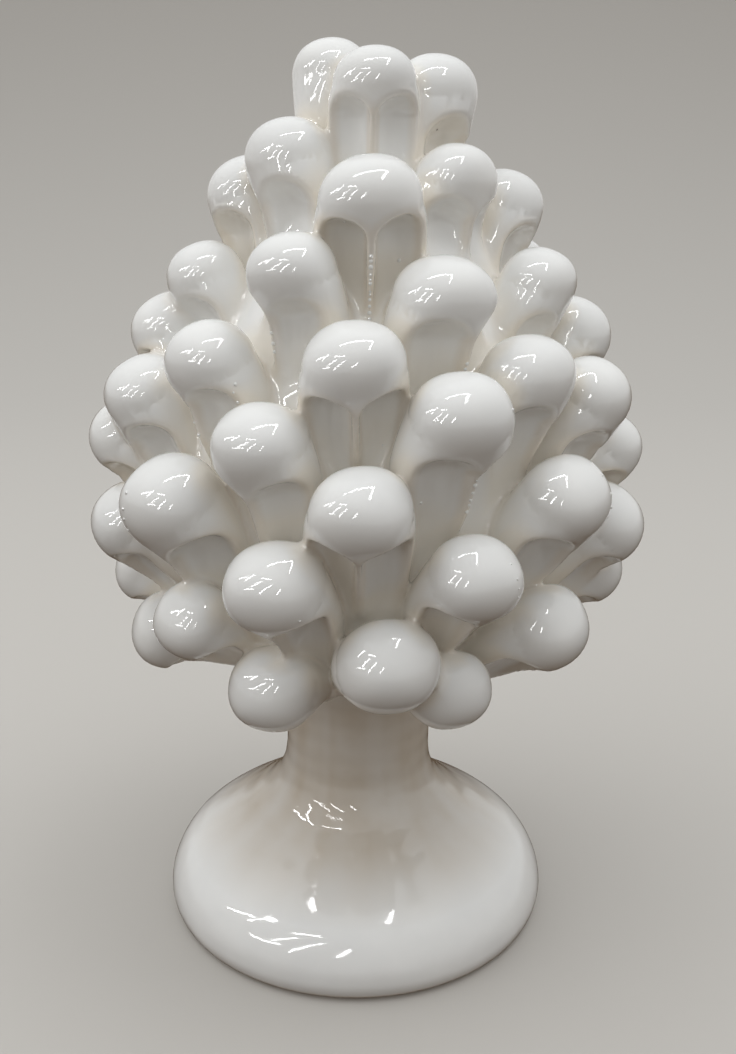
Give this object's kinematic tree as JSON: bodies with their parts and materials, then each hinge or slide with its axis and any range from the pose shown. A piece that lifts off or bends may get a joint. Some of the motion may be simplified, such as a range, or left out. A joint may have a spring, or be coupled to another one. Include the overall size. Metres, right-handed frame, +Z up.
{
  "type": "pinecone finial",
  "caption": "White glazed ceramic pinecone: a tapering cone set with rounded, fingertip-pressed scales, on a short neck and a round domed foot. Stands as a finial or ornament.",
  "frame": {"origin": "centre of the bounding box at the level of the foot's flat underside; the foot's own centre is 4 mm to the left of it, because the cone leans to the right", "axes": "+Z up along the height, -Y towards the front as pictured, +X to the right as seen from the front"},
  "size_m": [0.1859, 0.1864, 0.3012],
  "materials": {
    "white_glaze": "glossy white glaze"
  },
  "bodies": {
    "root": {"pinecone_finial": "white_glaze"}
  },
  "joints": []
}
